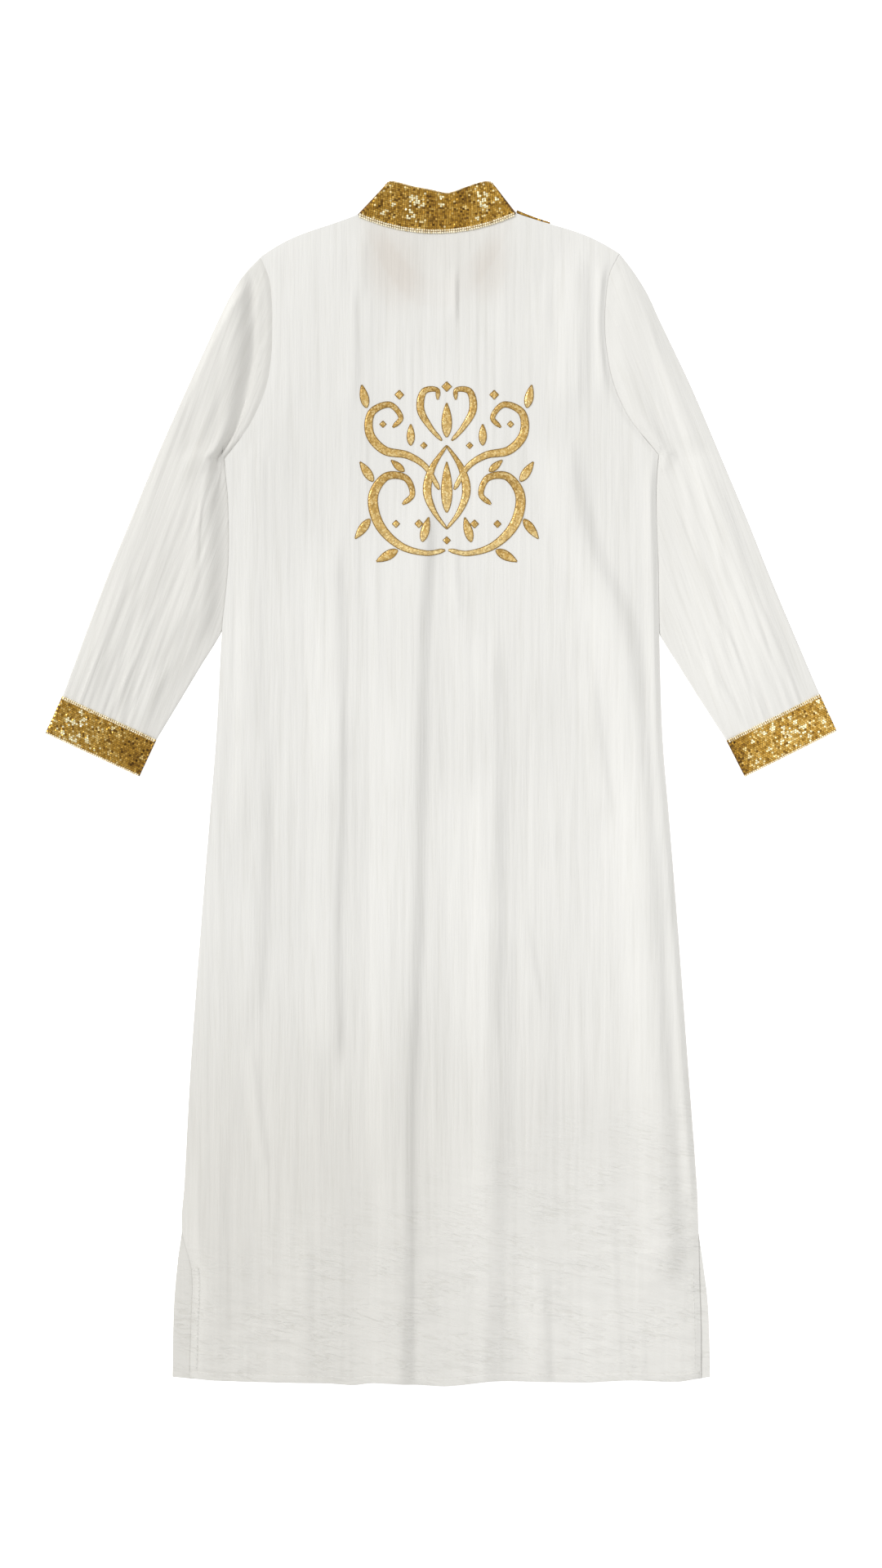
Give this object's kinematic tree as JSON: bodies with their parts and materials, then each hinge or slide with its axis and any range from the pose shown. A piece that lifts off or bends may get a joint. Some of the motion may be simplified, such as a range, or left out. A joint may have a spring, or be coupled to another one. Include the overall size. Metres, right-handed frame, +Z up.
{
  "type": "long-sleeved abaya laid flat with its back up",
  "caption": "Long white crepe abaya laid flat on its front, with set-in sleeves, side slits, and a gold sequinned stand collar and cuffs.",
  "frame": {"origin": "on the surface it lies on, below the middle of its outline", "axes": "+Y up the garment towards the collar, +X across it to the right sleeve as seen from above, +Z up off the surface"},
  "size_m": [0.968, 1.4735, 0.0134],
  "materials": {
    "crepe": "matt crinkled crepe, slightly see-through",
    "gold_sequins": "small overlapping metallised gold sequins on cloth",
    "gold_embroidery": "raised metallic gold thread embroidery"
  },
  "bodies": {
    "root": {"front_panel": "crepe", "back_panel": "crepe", "sleeve_left": "crepe", "sleeve_right": "crepe", "cuff_left": "gold_sequins", "cuff_right": "gold_sequins", "collar": "gold_sequins", "shoulder_edging": "gold_sequins"}
  },
  "joints": []
}
